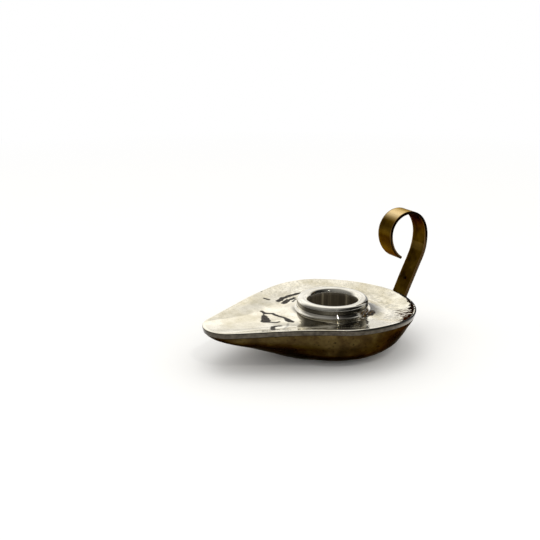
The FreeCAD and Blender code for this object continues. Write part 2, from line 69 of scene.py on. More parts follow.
# Depth share of the bowl, share of the half width, share of the tip's reach.
BOWL_LEVELS = (
    (0.00, 1.000, 1.000),
    (0.27, 0.904, 0.866),
    (0.50, 0.775, 0.580),
    (0.71, 0.615, 0.342),
    (0.89, 0.326, 0.142),
    (1.00, 0.000, 0.000),
)
# The dish is level up to this share of its width, and climbs by this power from there.
DISH_LEVEL = 0.08
DISH_POWER = 1.95

# The hammer's blows: how far apart they are, the radius of the hammer's face, and how much
# the ridges between the facets are rounded.
BLOW_SPACING = 2.4
HAMMER_FACE = 22.0
RIDGE_ROUND = 0.004

# The socket, as it is turned: radii and heights.
BORE_RADIUS = 11.5
BORE_FLOOR = 9.9
CUP_RADIUS = 13.5
CUP_FOOT = 7.3
BOSS_RADIUS = 7.0
BOSS_FOOT = RECESS_DEPTH + BOWL_WALL
THREAD_RADIUS = 2.05
THREAD_TOP = 8.6
RING_RADIUS = 16.6
LIP_HEIGHT = 23.9

# The strap: a strip bent round arcs in the plane of the leaf's long axis.
STRAP_WIDTH = 10.2
STRAP_THICKNESS = 1.3
STRAP_EDGE = 0.28
STRAP_ASIDE = 0.5
FOOT_CORNER = 1.6
FREE_CORNER = 0.7
# The centre (x, z) of the arc that follows the bowl's wall, and then each arc of the inner face:
# its radius, the angles that it starts and ends at, and the straight run after it.
WALL_CENTRE = (5.108, 29.836)
STRAP_BENDS = (
    (35.256, -42.24, -24.0, 23.876),
    (25.3, -24.0, 0.0, 0.0),
    (14.5, 0.0, 30.0, 0.0),
    (9.3, 30.0, 180.0, 0.0),
    (12.8, 180.0, 239.2, 0.0),
)
# Where the punched pit is, in millimetres along the strap from its foot.
PIT_PLACE = 23.4


# Small tools

def rise(low, high, value):
    """0 below low and 1 above high, with a soft slope between."""
    t = np.clip((value - low) / (high - low), 0, 1)
    return t * t * (3 - 2 * t)


def span(value, low, full, fading, high):
    """1 from full to fading and 0 outside low and high, with soft slopes between."""
    return rise(low, full, value) * (1 - rise(fading, high, value))


def polar(x, y):
    """The distance from the socket's axis, and the bearing in degrees."""
    return np.hypot(x, y), np.degrees(np.arctan2(y, x))


def fair(value, places, heights):
    """A fair curve through the given points, read at value."""
    places, heights = np.array(places, float), np.array(heights, float)
    slopes = np.gradient(heights, places)
    value = np.asarray(value, float)
    i = np.clip(np.searchsorted(places, value, side="right") - 1, 0, len(places) - 2)
    step = places[i + 1] - places[i]
    t = (value - places[i]) / step
    start = (2 * t**3 - 3 * t**2 + 1) * heights[i] + (t**3 - 2 * t**2 + t) * step * slopes[i]
    end = (3 * t**2 - 2 * t**3) * heights[i + 1] + (t**3 - t**2) * step * slopes[i + 1]
    return start + end


def corner(centre, radius, start, end, count=7):
    """Points along an arc in (reach, height), from one angle in degrees to the other."""
    turn = np.radians(np.linspace(start, end, count))
    return [(centre[0] + radius * c, centre[1] + radius * s) for c, s in zip(np.cos(turn), np.sin(turn))]


def waves(x, y, lengths, seed, count=18):
    """A smooth unevenness of about -1 to 1, from plane waves of the given lengths."""
    pick = np.random.default_rng(seed)
    total = np.zeros(np.broadcast(x, y).shape)
    for _ in range(count):
        turn = pick.uniform(0, 2 * math.pi)
        length = pick.uniform(*lengths)
        shift = pick.uniform(0, 2 * math.pi)
        total += np.sin(2 * math.pi * (x * math.cos(turn) + y * math.sin(turn)) / length + shift)
    return total / math.sqrt(count)


def leaf_reach(angle, half_width, tip, end_x, tip_radius):
    """How far a leaf-shaped outline lies from the socket's axis at each angle."""
    tip_x = tip_radius - tip
    lean = np.minimum((half_width - tip_radius) / np.maximum(end_x - tip_x, 1e-6), 0.9995)
    across = np.sqrt(1 - lean**2)
    c, s = np.cos(angle), np.abs(np.sin(angle))
    flank = (half_width - lean * end_x) / np.maximum(across * s - lean * c, 1e-6)
    round_end = end_x * c + np.sqrt(half_width**2 - (end_x * s) ** 2)
    round_tip = tip_x * c + np.sqrt(np.maximum(tip_radius**2 - (tip_x * s) ** 2, 0))
    turn = np.arctan2(s, c)
    end_turn = np.arctan2(half_width * across, end_x - half_width * lean)
    tip_turn = np.arctan2(tip_radius * across, tip_x - tip_radius * lean)
    return np.where(turn < end_turn, round_end, np.where(turn > tip_turn, round_tip, flank))


def settle(x, y, z):
    """How far the old rim has sagged at its tip, at its round end and along its sides.

    The bowl's lower part and the pan's seat have kept their shape.
    """
    sag = -1.5 * rise(24, 66, -x) - 2.0 * rise(2, 40, x) - 0.4 * rise(24, 38, np.abs(y))
    return np.maximum(sag, -2.0) * rise(13, 18.9, z) * rise(17.5, 25.5, np.hypot(x, y))


def level_row(angle, reach, height):
    """One row of points round the socket's axis, at a reach and a height."""
    return np.stack([reach * np.cos(angle), reach * np.sin(angle), height + 0 * angle], 1)


def skin(name, rows, ring=True, wrap=False, marks=None):
    """A mesh over a grid of points: rows of stations, closed round each row where ring is set.

    wrap joins the last row to the first. marks are values at the points, kept as attributes.
    """
    rows = np.asarray(rows, float)
    count, around = rows.shape[:2]
    index = np.arange(count * around).reshape(count, around)
    if wrap:
        index = np.vstack([index, index[:1]])
    if ring:
        index = np.hstack([index, index[:, :1]])
    a, b = index[:-1, :-1].ravel(), index[:-1, 1:].ravel()
    c, d = index[1:, 1:].ravel(), index[1:, :-1].ravel()
    faces = np.stack([a, b, c, d], 1)
    mesh = bpy.data.meshes.new(name)
    mesh.from_pydata((rows.reshape(-1, 3) * MM).tolist(), [], faces.tolist())
    for layer, values in (marks or {}).items():
        attribute = mesh.attributes.new(layer, "FLOAT", "POINT")
        attribute.data.foreach_set("value", np.asarray(values, np.float32).ravel())
    mesh.shade_smooth()
    mesh.update()
    piece = bpy.data.objects.new(name, mesh)
    bpy.context.scene.collection.objects.link(piece)
    return piece


# The drip pan

def pan_reach(angle, share):
    """The dish's outline at a share of its width, from the seat's circle to the lip."""
    half_width = SEAT_RADIUS + (END_RADIUS - PAN_LIP - SEAT_RADIUS) * share
    tip = SEAT_RADIUS + (TIP_REACH - PAN_LIP - SEAT_RADIUS) * share
    tip_radius = TIP_RADIUS - PAN_LIP + (SEAT_RADIUS - TIP_RADIUS + PAN_LIP) * (1 - share) ** 3
    return leaf_reach(angle, half_width, tip, END_OFFSET * share, tip_radius)


def dish_climb(share):
    """The way up the dish's wall as a share: 0 up to the edge of its level part, 1 at the lip."""
    return np.clip((share - DISH_LEVEL) / (1 - DISH_LEVEL), 0, 1)


def dish_height(share):
    """The dish rises slowly from the socket's seat and faster towards the lip."""
    return SEAT_HEIGHT + (RIM_HEIGHT - SEAT_HEIGHT) * dish_climb(share) ** DISH_POWER


def hammer_work(x, y, share):
    """The planishing marks: shallow facets with soft ridges between, in millimetres.

    They are crisp on the round end and fade out towards the tip, which was smoothed and
    polished, and next to the strap. Under them lies a soft swell, as hand-beaten sheet has.
    """
    chance = np.random.default_rng(17)
    # Rows of blows all over the pan, each up to 0.9 mm off its place.
    places = []
    for i, px in enumerate(np.arange(-70, 46, BLOW_SPACING)):
        for py in np.arange(-42, 42, BLOW_SPACING * 0.9):
            places.append((px + chance.uniform(-0.9, 0.9), py + chance.uniform(-0.9, 0.9) + (i % 2)))
    blows = kdtree.KDTree(len(places))
    for i, place in enumerate(places):
        blows.insert((place[0], place[1], 0), i)
    blows.balance()
    depth = chance.uniform(-0.010, 0.010, len(places))
    flat_x, flat_y = x.ravel(), y.ravel()
    facets = np.empty(flat_x.size)
    for k in range(flat_x.size):
        nearest = blows.find_n((flat_x[k], flat_y[k], 0), 3)
        hollows = [away**2 / (2 * HAMMER_FACE) + depth[i] for _, i, away in nearest]
        least = min(hollows)
        shares = sum(math.exp((least - hollow) / RIDGE_ROUND) for hollow in hollows)
        facets[k] = least - RIDGE_ROUND * math.log(shares)
    crisp = 0.12 + 0.88 * rise(-22, 6, x + 0.35 * y)
    crisp = crisp * rise(0.02, 0.2, share) * (1 - 0.7 * rise(26, 32, x))
    swell = (0.05 + 0.03 * rise(-5, 12, y)) * waves(x, 0.6 * y, (5, 14), 5)
    swell = swell * (0.2 + 0.8 * crisp) * rise(0.0, 0.25, share)
    # The facets are a third deeper than the blows alone make them, so that they show.
    return 1.35 * facets.reshape(x.shape) * crisp + swell


def mark(x, y, points, width):
    """1 on a torn stroke through the given points, or on the patch that they close; else 0."""
    near = np.full(x.shape, 1e9)
    if points[0] == points[-1]:
        inside = np.zeros(x.shape, bool)
        for (x0, y0), (x1, y1) in zip(points, points[1:]):
            if y0 != y1:
                inside ^= ((y0 > y) != (y1 > y)) & (x < (x1 - x0) * (y - y0) / (y1 - y0) + x0)
        near[inside] = 0
    for (x0, y0), (x1, y1) in zip(points, points[1:]):
        along_x, along_y = x1 - x0, y1 - y0
        t = np.clip(((x - x0) * along_x + (y - y0) * along_y) / (along_x**2 + along_y**2), 0, 1)
        near = np.minimum(near, np.hypot(x - x0 - t * along_x, y - y0 - t * along_y))
    ragged = width + 0.22 * waves(x, y, (1.2, 4.0), 23)
    return 1 - rise(-0.15, 0.15, near - ragged / 2)


# Old tarnish beside the socket: the points of each stroke or closed patch on the pan, its width
# and how dark it is.
TARNISH = (
    (((-31.5, 10.6), (-31.5, 8.0), (-30.3, 7.3), (-28.3, 6.0), (-28.1, 3.8), (-27.1, 1.0),
      (-26.2, -1.7), (-25.9, -4.9), (-25.8, -7.5)), 1.7, 1.0),
    (((-26.6, -2.1), (-26.1, -4.4), (-26.6, -7.5), (-27.6, -7.1), (-27.7, -4.5),
      (-26.6, -2.1)), 0.5, 0.9),
    (((-32.7, 7.3), (-35.1, 4.4), (-37.0, 0.9), (-38.2, -0.6), (-37.7, -2.4), (-35.7, -3.1),
      (-33.9, -2.2), (-33.0, 1.4), (-32.2, 5.2), (-32.7, 7.3)), 0.3, 0.9),
    (((-35.5, -2.8), (-33.0, -4.8), (-31.1, -4.5)), 1.3, 0.9),
    (((-37.6, -9.2), (-36.4, -9.9), (-39.8, -16.2), (-40.9, -15.2), (-37.6, -9.2)), 0.7, 1.0),
    (((-36.9, -9.6), (-33.5, -9.9)), 1.9, 1.0),
    (((-39.6, -14.4), (-37.7, -16.0)), 1.4, 0.95),
    (((-28.7, -8.6), (-31.1, -12.1), (-33.4, -14.2), (-35.4, -17.1)), 1.1, 0.5),
    (((-3.3, 24.7), (-6.0, 24.1), (-9.4, 23.5), (-12.5, 22.1), (-14.2, 21.9)), 1.9, 1.0),
    (((-14.2, 21.9), (-16.3, 20.1), (-18.2, 19.2)), 2.3, 1.0),
    (((-8.7, 20.2), (-11.7, 18.9)), 1.8, 1.0),
    (((-11.5, 19.3), (-12.8, 20.0), (-15.0, 18.6), (-18.0, 16.5), (-17.4, 15.0), (-15.4, 15.5),
      (-12.6, 17.7), (-11.5, 19.3)), 0.4, 0.95),
    (((-8.8, 18.4), (-12.1, 15.9)), 0.9, 0.7),
    (((-23.6, 23.0), (-21.7, 21.6)), 1.4, 0.8),
    (((-22.4, 29.8), (-21.9, 29.5)), 1.5, 0.7),
)


def residue(x, y):
    """Brown crumbs of old flux round the socket's foot, at its front right only."""
    out, bearing = polar(x, y)
    torn = out + 0.8 * waves(x, y, (3, 8), 41)
    where = span(bearing, -82, -70, -50, -36) * rise(14.8, 15.6, out) * (1 - rise(18.9, 20.6, torn))
    return where * rise(0.1, 0.6, waves(x, y, (1.0, 2.6), 43) + 1.4)


def socket_reflections(x, y):
    """Painted reflection of the socket's dark side: soft grey on the pan by the foot's right and left.
    """
    out, bearing = polar(x, y)
    right = 0.92 * (1 - rise(18, 26, out)) * span(bearing, -64, -48, -14, 2)
    left = 0.75 * np.exp(-(((out - 17.6) / 1.3) ** 2)) * rise(13, 17, -x)
    return right + left


def beaten_dish(angle):
    """The dish's hammered upper side, in rows from the seat's circle to the lip."""
    share = np.linspace(0, 1, 112)[:, None]
    reach = pan_reach(angle, share)
    x, y = reach * np.cos(angle), reach * np.sin(angle)
    z = dish_height(share) + hammer_work(x, y, share)
    # The dish is beaten a little deeper than it was drawn, and most of all at the round end.
    out, bearing = polar(x, y)
    deep = 0.15 + 0.50 * span(bearing, -80, -58, 20, 50)
    z = z - deep * span(out, 18.3, 25, 31, 37.6)
    # In front of the socket the wall is straighter, so that it mirrors the ring's dark side.
    climb = dish_climb(share)
    z = z + 2.2 * span(bearing, -135, -112, -76, -58) * (climb - climb**DISH_POWER)
    # No hammer mark stands above the lip.
    return np.stack([x, y, np.minimum(z, RIM_HEIGHT - 0.02)], 2)


def hammered_pan():
    """A shallow leaf-shaped dish with hammer marks, a rounded edge and a plain band."""
    angle = np.linspace(-math.pi, math.pi, 720, endpoint=False)
    dish = beaten_dish(angle)
    # Flat seat under the socket, from the hole outwards.
    seat = [level_row(angle, r, SEAT_HEIGHT) for r in (PAN_HOLE, 15.5, 17.2)]
    # Lip, rounded edge, band and underside, as insets from the rim's outline and heights.
    rim = leaf_reach(angle, END_RADIUS, TIP_REACH, END_OFFSET, TIP_RADIUS)
    rim_x, rim_y = rim * np.cos(angle), rim * np.sin(angle)
    band_top = RIM_HEIGHT - EDGE_ROUND
    rounded = corner((0, band_top), EDGE_ROUND, 90, 0, 8)
    edge = [(0.62, RIM_HEIGHT)] + [(EDGE_ROUND - r, height) for r, height in rounded]
    edge += [(BAND_DRAFT * t, band_top - t * (band_top - BAND_FOOT)) for t in (0.3, 0.6, 0.9, 1.0)]
    edge += [(BAND_DRAFT + 0.3, BAND_FOOT), (BAND_DRAFT + 1.9, BAND_FOOT)]
    # Below the lip the edge was filed a little unevenly.
    uneven = np.minimum(0.10 * waves(rim_x, rim_y, (14, 40), 8), 0)
    outside = [level_row(angle, rim - inset, height + uneven * (height < RIM_HEIGHT - 0.1))
               for inset, height in edge]
    under = [level_row(angle, pan_reach(angle, s), dish_height(s) - PAN_THICKNESS)
             for s in np.linspace(0.93, 0, 12)]
    under.append(level_row(angle, PAN_HOLE, SEAT_HEIGHT - PAN_THICKNESS))
    rows = np.concatenate([seat, dish, outside, under])
    x, y = rows[..., 0], rows[..., 1]
    rows[..., 2] += settle(x, y, rows[..., 2])
    # What lies on the upper side only: tarnish, the painted reflection of the socket, and crumbs.
    brim = len(seat) + len(dish)
    top = (np.arange(len(rows)) < brim)[:, None]
    stain = np.max([dark * mark(x, y, points, width) for points, width, dark in TARNISH], axis=0)
    crumbs = residue(x, y) * top
    rows[..., 2] += 0.15 * crumbs
    # Painted shade on the band, which starts half way round the edge, and is a little brighter at the
    # round end.
    turn = np.degrees(angle)
    band_row = brim + 1 + len(rounded)
    band = np.zeros(x.shape)
    band[band_row - 4:] = 1
    band[band_row + 1:] = 1 - 0.2 * span(turn, -85, -55, -20, 0)
    # Painted shade: black on the rounded edge of the round end, and in ragged rows over the lip into the
    # dish.
    grime = np.zeros(x.shape)
    grime[brim + 1:band_row] = span(turn, -112, -92, 14, 24)
    torn = waves(rim_x, rim_y, (0.8, 3), 47)
    for k in range(6):
        grime[brim - k] = rise(-0.2, 0.2, 0.8 - 0.3 * k + torn) * span(turn, -48, -28, -6, 4)
    marks = {"tarnish": stain * top, "band": band, "grime": grime, "residue": crumbs,
             "smudge": socket_reflections(x, y) * top}
    return skin("hammered_pan", rows, wrap=True, marks=marks)


# The bowl

def raised_bowl():
    """The bowl under the pan, from its top edge down to the foot and the hollow under it."""
    angle = np.linspace(-math.pi, math.pi, 360, endpoint=False)
    c, s = np.cos(angle), np.sin(angle)
    depth = np.linspace(0, 1, 70)[:, None]
    depths, widths, tips = zip(*BOWL_LEVELS)
    half_width = FOOT_RADIUS + (END_RADIUS - BAND_DRAFT - FOOT_RADIUS) * fair(depth, depths, widths)
    tip = FOOT_TIP + (TIP_REACH - BAND_DRAFT - FOOT_TIP) * fair(depth, depths, tips)
    reach = leaf_reach(angle, half_width, tip, END_OFFSET * (1 - depth), TIP_RADIUS)
    x, y, z = reach * c, reach * s, BAND_FOOT * (1 - depth) + 0 * reach
    # Raised by hand over a stake: the wall is uneven by a tenth of a millimetre, but smooth
    # behind the strap, and it hardly swells outwards.
    soft = 0.10 * waves(x + z, y - z, (12, 30), 3) * span(depth, 0.02, 0.2, 0.8, 1.0)
    soft = np.minimum(soft, 0.05) * (x < 30)
    outer = np.stack([x + soft * c, y + soft * s, z], 2)
    # The foot's ring, the hollow inside it and the screw's hole, as reaches and heights.
    below = [(reach[-1] - 0.8, 0.0), (RECESS_MOUTH + 0.5, 0.0)]
    below += corner((RECESS_MOUTH + 0.3, 0.35), 0.35, 270, 190, 5)
    below += corner((RECESS_TOP - 0.8, RECESS_DEPTH - 0.8), 0.8, 15, 90, 6)
    below += [(r, RECESS_DEPTH) for r in (8.0, 5.0, SCREW_HOLE + 0.15)]
    below += [(SCREW_HOLE, RECESS_DEPTH + 0.15), (SCREW_HOLE, BOSS_FOOT)]
    # The floor inside: raised in the middle, where the socket's boss stands.
    inside = [(6.0, BOSS_FOOT), (10.5, BOSS_FOOT), (13.4, 3.9), (15.2, 1.8), (16.4, BOWL_WALL)]
    foot = [level_row(angle, r, height) for r, height in below + inside]
    # The wall's inner side, a wall's thickness in from every sixth row of its outer side.
    along = np.gradient(outer, axis=0)
    across = (np.roll(outer, -1, 1) - np.roll(outer, 1, 1)) / 2
    normal = np.cross(along, across)
    normal /= np.maximum(np.linalg.norm(normal, axis=2, keepdims=True), 1e-9)
    outwards = np.sign((normal * outer * (1, 1, 0)).sum(2, keepdims=True))
    wall = (outer - BOWL_WALL * normal * outwards)[-8::-6]
    wall[..., 2] = np.clip(wall[..., 2], BOWL_WALL, BAND_FOOT)
    # At its top edge the wall leans outwards.
    top_lean = math.radians(26)
    brim = [level_row(angle, reach[0] - BOWL_WALL / math.cos(top_lean), BAND_FOOT)]
    rows = np.concatenate([outer, foot, wall, brim])
    rows[..., 2] += settle(rows[..., 0], rows[..., 1], rows[..., 2])
    return skin("raised_bowl", rows, wrap=True)


# The socket

def socket_profile():
    """The socket's turned outline in (reach, height), from the thread up round to the bore."""
    axis = 0.02
    line = [(axis, THREAD_TOP), (THREAD_RADIUS, THREAD_TOP), (THREAD_RADIUS, BOSS_FOOT + 0.3)]
    line += [(THREAD_RADIUS + 0.3, BOSS_FOOT), (BOSS_RADIUS - 0.3, BOSS_FOOT)]
    line += [(BOSS_RADIUS, BOSS_FOOT + 0.3), (BOSS_RADIUS, CUP_FOOT)]
    line += [(CUP_RADIUS - 0.3, CUP_FOOT), (CUP_RADIUS, CUP_FOOT + 0.3), (CUP_RADIUS, 12.0)]
    line += [(CUP_RADIUS, SEAT_HEIGHT), (17.35, SEAT_HEIGHT)]
    # The foot flares in a hollow curve from a small shoulder, with a fine groove under the ring.
    line += corner((17.45, SEAT_HEIGHT + 0.15), 0.15, -90, 40, 5)
    flare = np.linspace(1.15, 0.25, 12)
    line += [(17.95 - 1.75 * math.cos(a), 20.35 - 1.55 * math.sin(a)) for a in flare]
    line += corner((16.0, 20.1), 0.25, 20, 80, 5)
    line += [(15.7, 20.38), (15.7, 20.52)]
    # The ring is round outside and rolls over its lip into the bore.
    line += corner((RING_RADIUS - 0.55, 21.1), 0.55, -80, 0, 6)
    line += corner((RING_RADIUS - 1.6, LIP_HEIGHT - 1.6), 1.6, 0, 88, 16)
    line += corner((BORE_RADIUS + 2.1, LIP_HEIGHT - 2.1), 2.1, 90, 180, 16)
    line += [(BORE_RADIUS, height) for height in (20.5, 18.5, 16.5, 14.5, 12.5, 11.5)]
    line += corner((BORE_RADIUS - 0.5, BORE_FLOOR + 0.5), 0.5, 0, -90, 5)
    line += [(8.0, BORE_FLOOR), (4.0, BORE_FLOOR), (axis, BORE_FLOOR)]
    line = np.array(line)
    # Small extra stations keep the turned faces round and the shading even.
    fine = [line[:1]]
    for a, b in zip(line, line[1:]):
        count = max(1, int(np.hypot(*(b - a)) / 0.7))
        fine.append(a + (b - a) * np.linspace(0, 1, count + 1)[1:, None])
    return np.concatenate(fine)


def turned_socket():
    """The candle socket as it came off the lathe: cup, foot, neck, ring and bore."""
    line = socket_profile()
    turn = np.linspace(0, 2 * math.pi, 256, endpoint=False)
    r, z = line[:, :1], line[:, 1:]
    # Above the pan it is a hair out of round.
    wobble = 1 - 0.0012 * (1 + np.sin(turn * 3 + 1))[None, :] * (z > 18.9)
    rows = np.stack([r * np.cos(turn) * wobble, r * np.sin(turn) * wobble, z + 0 * turn], 2)
    x, y, z = rows[..., 0], rows[..., 1], rows[..., 2]
    out, bearing = polar(x, y)
    # Small nicks along the lip.
    nicks = 0.05 * rise(0.8, 1.9, waves(x, y, (1.5, 5), 31))
    rows[..., 2] -= nicks * rise(23.2, 23.7, z) * (1 - rise(12.6, 13.6, out))
    # Painted shade on the ring: its side is darker, most on the left, the groove under it has a dark
    # line, and its shoulder towards the strap is black.
    side = span(z, 20.3, 20.7, 22.4, 23.2) * (out > 14)
    shoulder = span(bearing, -68, -50, 62, 88) * rise(14.9, 15.5, out) * (z > 20.6)
    groove = np.exp(-(((z - 20.45) / 0.12) ** 2)) * (out > 15)
    left = rise(120, 150, np.abs(bearing)) * side
    dull = np.clip(0.40 * side + 0.35 * left + 0.9 * shoulder + 0.6 * groove, 0, 1)
    bore = (out < 11.9) * (1 - rise(21.6, 22.8, z)) * (z > 9.0)
    # The flux lies on the flare of the foot only, and makes it a little thicker.
    crumbs = residue(x, y) * (z > 18.6) * (z < 20.2)
    rows[..., :2] *= (1 + 0.008 * crumbs)[..., None]
    return skin("turned_socket", rows, marks={"dull": dull, "bore": bore, "residue": crumbs})


# The strap

def strap_line(step=0.4):
    """The strap's inner face line: points (x, z), the way each faces out, and the length run."""
    points, centre = [], WALL_CENTRE
    for radius, start, end, straight in STRAP_BENDS:
        if points:
            x, z, lean = points[-1]
            centre = (x - radius * math.cos(lean), z - radius * math.sin(lean))
        count = max(3, int(math.radians(end - start) * radius / step))
        turns = np.radians(np.linspace(start, end, count + 1))
        for turn in turns[1 if points else 0:]:
            x, z = centre[0] + radius * math.cos(turn), centre[1] + radius * math.sin(turn)
            points.append((x, z, turn))
        x, z, lean = points[-1]
        for t in np.linspace(0, straight, int(straight / step) + 1)[1:]:
            points.append((x - t * math.sin(lean), z + t * math.cos(lean), lean))
    line = np.array(points)
    run = np.concatenate([[0], np.cumsum(np.hypot(*np.diff(line[:, :2], axis=0).T))])
    return line, run


def strap_section():
    """The strip's cross-section: places across and through it, along the inner face and round."""
    flat = STRAP_WIDTH / 2 - STRAP_EDGE
    middle = np.linspace(0.75 - flat, flat - 0.75, 22)
    stops = [-flat, -flat + 0.2, -flat + 0.45, *middle, flat - 0.45, flat - 0.2, flat]
    soft = [(flat + STRAP_EDGE * math.sin(t), STRAP_EDGE * (1 - math.cos(t)))
            for t in (0.5, 1.0, math.pi / 2)]
    points = [(v, 0.0) for v in stops] + soft + [(v, STRAP_THICKNESS - n) for v, n in soft[::-1]]
    # The other half is the same, turned by half a turn.
    return np.concatenate([points, (0, STRAP_THICKNESS) - np.array(points)])


def rolled_strap():
    """A flat brass strip with softened edges, bent up from the bowl into the finger loop."""
    line, run = strap_line()
    total, half = run[-1], STRAP_WIDTH / 2
    # Extra stations close to the ends make the rounded corners and edges.
    near = np.array([0.0, 0.05, 0.15, 0.3, 0.55, 0.9, 1.3])
    middle = run[(run > FOOT_CORNER) & (run < total - FOOT_CORNER)]
    stations = np.unique(np.concatenate([near, middle, total - near]))
    x, z, lean = (np.interp(stations, run, line[:, k])[:, None] for k in range(3))
    s = stations[:, None]
    wide, deep = strap_section().T
    inner, outer = deep < 0.01, deep > STRAP_THICKNESS - 0.01
    # How far the sheared sides draw in: rounded corners, and a little unevenness.
    end = np.minimum(s, total - s)
    bend = np.where(s < total / 2, FOOT_CORNER, FREE_CORNER)
    shy = bend - np.sqrt(np.maximum(bend**2 - np.maximum(bend - end, 0) ** 2, 0))
    shy = np.minimum(shy + 0.06 * (1 + np.sin(s / 7.3) * np.sin(s / 3.1 + 1)), half - 0.5)
    v = wide * (half - shy) / half
    # How thick it is: less at its very ends, with faces that rolling left a little hollow.
    thin = 0.18 * np.maximum(0, 1 - end / 0.3)
    n = deep + (STRAP_THICKNESS / 2 - deep) * thin * 2
    hollow = np.abs(0.03 * np.sin(s / 4.7) * np.cos(v / half * 1.5))
    # One small punched pit in the inner face of the stem.
    pit = np.exp(-(((s - PIT_PLACE) ** 2 + v**2) / 0.55) ** 2)
    n = n + np.where(inner, 0.45 * pit + hollow, -hollow * outer)
    # The strip was set a little to the far side, and drawn in towards the rim.
    aside = STRAP_ASIDE * rise(10, 18, z)
    close = -0.45 * span(z, 14, 19, 22, 42) * (s < 45)
    rows = np.stack([x + close + n * np.cos(lean), v + aside, z + n * np.sin(lean)], 2)
    # Gold: worn brass on the loop's crown, there with a painted highlight; painted reflections in two
    # faint bands on the curl and in gold towards its end; one rubbed patch below the loop.
    crown = span(s, 54, 64, 66.5, 73) * ~inner
    curl = 0.06 * span(s, 66, 68, 72, 77) + 0.08 * span(s, 74, 75, 77, 78.5) + 0.40 * rise(78, 86, s)
    patch = 0.13 * span(s, 37.7, 38.2, 41.6, 42.1) * inner
    rubbed = np.maximum(crown, curl * outer) + patch
    # The loop's inner face: heat tint, and painted shade inside the loop.
    heat = rise(42, 42.6, s) * inner
    # Painted shade: the sheared sides and the pit are dark. Painted highlights: the arrises are lighter,
    # and so is the inner half of the sides along the stem and at the free end.
    flat = half - STRAP_EDGE
    cut = (np.abs(wide) > flat - 0.01) * 1.0
    lit_sides = (1 - rise(40, 47, s) + rise(77, 80, s)) * cut * (deep < STRAP_THICKNESS / 2)
    arris = np.maximum((np.abs(np.abs(wide) - flat + 0.2) < 0.01) * 1.0, 0.4 * lit_sides)
    # Both ends are closed with a small cap of shrinking rows.
    centre = rows.mean(1, keepdims=True)
    first = [centre[0] + (rows[0] - centre[0]) * k for k in (0.02, 0.6)]
    last = [centre[-1] + (rows[-1] - centre[-1]) * k for k in (0.6, 0.02)]
    marks = {"rubbed": rubbed, "edge": np.maximum(cut, pit * inner), "arris": arris, "heat": heat}
    marks = {name: np.pad(values, ((2, 2), (0, 0)), "edge") for name, values in marks.items()}
    return skin("rolled_strap", np.concatenate([first, rows, last]), marks=marks)


# Materials

# A colour Mix node's two colours, the lower and the upper one, and its result, by their numbers.
LOWER, UPPER, MIXED = 6, 7, 2
# Crumbs of old flux, from their dark grain to their brown one.
FLUX = [(0.38, "#120B03"), (0.54, "#2C1D05"), (0.66, "#7A5A16")]


def linear(code):
    """An sRGB hex colour as the linear colour that a shader takes."""
    parts = [int(code[i:i + 2], 16) / 255 for i in (1, 3, 5)]
    return [p / 12.92 if p <= 0.04045 else ((p + 0.055) / 1.055) ** 2.4 for p in parts] + [1.0]


def add_node(tree, kind, parts=None):
    """Adds one node with its settings and with its inputs' values, hex colours or links.

    ramp is a list of stops, each a place and a hex colour.
    """
    node = tree.nodes.new("ShaderNode" + kind)
    for key, value in (parts or {}).items():
        if key == "ramp":
            stops = node.color_ramp.elements
            while len(stops) < len(value):
                stops.new(0.5)
            for stop, (place, code) in zip(stops, value):
                stop.position, stop.color = place, linear(code)
        elif isinstance(key, str) and key in node.bl_rna.properties:
            setattr(node, key, value)
        elif isinstance(value, bpy.types.NodeSocket):
            tree.links.new(value, node.inputs[key])
        else:
            node.inputs[key].default_value = linear(value) if isinstance(value, str) else value
    return node


def new_material(name):
    """A material with an empty tree, and the piece's own coordinates in it."""
    material = bpy.data.materials.new(name)
    material.use_nodes = True
    tree = material.node_tree
    tree.nodes.clear()
    place = add_node(tree, "TexCoord").outputs["Object"]
    return material, tree, place


def coat(tree, below, name, colour):
    """A coat of colour over the one below, as thick as the piece's mark of that name says."""
    thick = add_node(tree, "Attribute", {"attribute_name": name})
    coated = add_node(tree, "Mix", {"data_type": "RGBA", 0: thick.outputs["Fac"], LOWER: below,
                                    UPPER: colour})
    return coated.outputs[MIXED]


